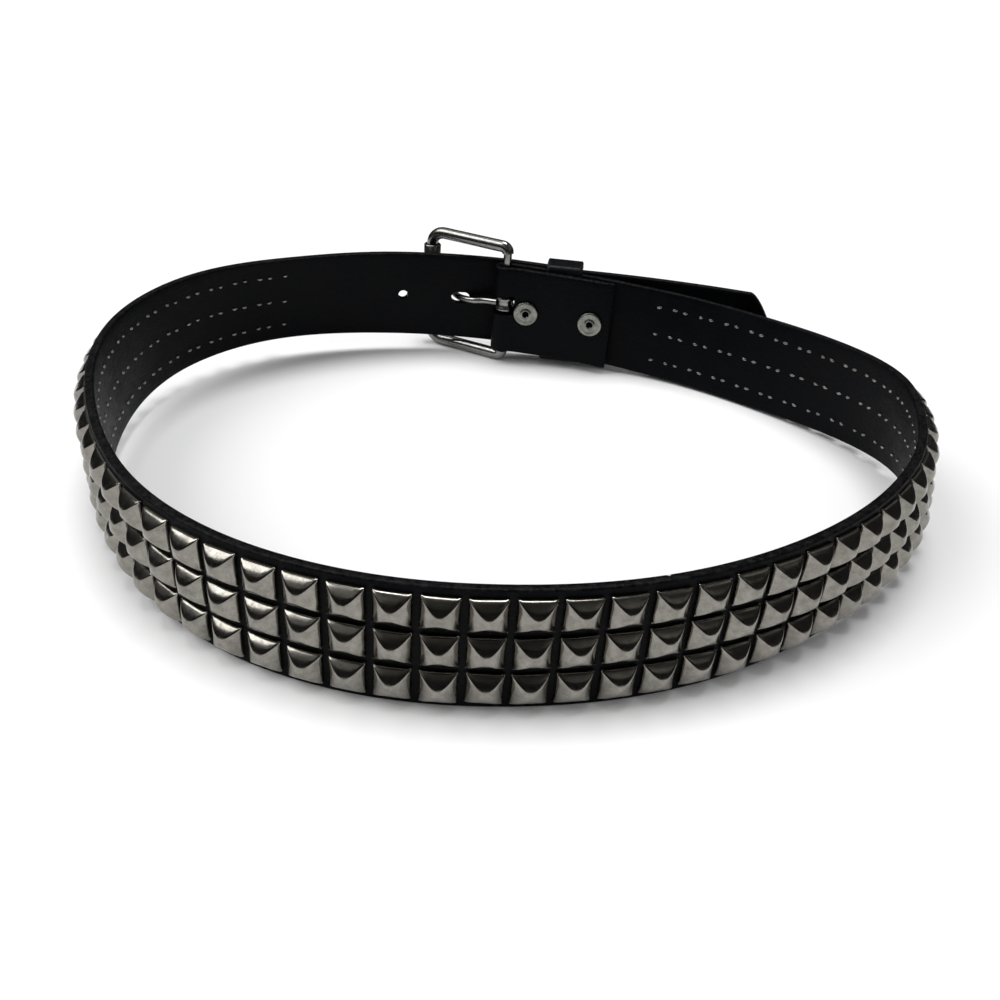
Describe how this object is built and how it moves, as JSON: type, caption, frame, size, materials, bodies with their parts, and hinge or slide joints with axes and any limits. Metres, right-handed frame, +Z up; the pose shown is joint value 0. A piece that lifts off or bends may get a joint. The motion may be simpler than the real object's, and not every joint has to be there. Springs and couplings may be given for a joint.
{
  "type": "studded belt",
  "caption": "Black leather belt with rows of metal pyramid studs and a roller buckle, buckled into a loop and standing on its edge.",
  "frame": {"origin": "middle of the footprint at the surface that the belt stands on", "axes": "+Z up, -Y towards the studded front, +Y towards the buckle at the back"},
  "size_m": [0.2948, 0.2518, 0.0542],
  "materials": {
    "strap_leather": "smooth black leather, low sheen",
    "stud_metal": "worn nickel plate with fine scuffs",
    "buckle_metal": "polished nickel plate",
    "snap_metal": "dull nickel plate"
  },
  "bodies": {
    "root": {"studded_strap": "strap_leather", "keeper": "strap_leather", "buckle_frame": "buckle_metal", "roller": "buckle_metal", "prong": "buckle_metal", "snap_first": "snap_metal", "snap_second": "snap_metal"}
  },
  "joints": []
}
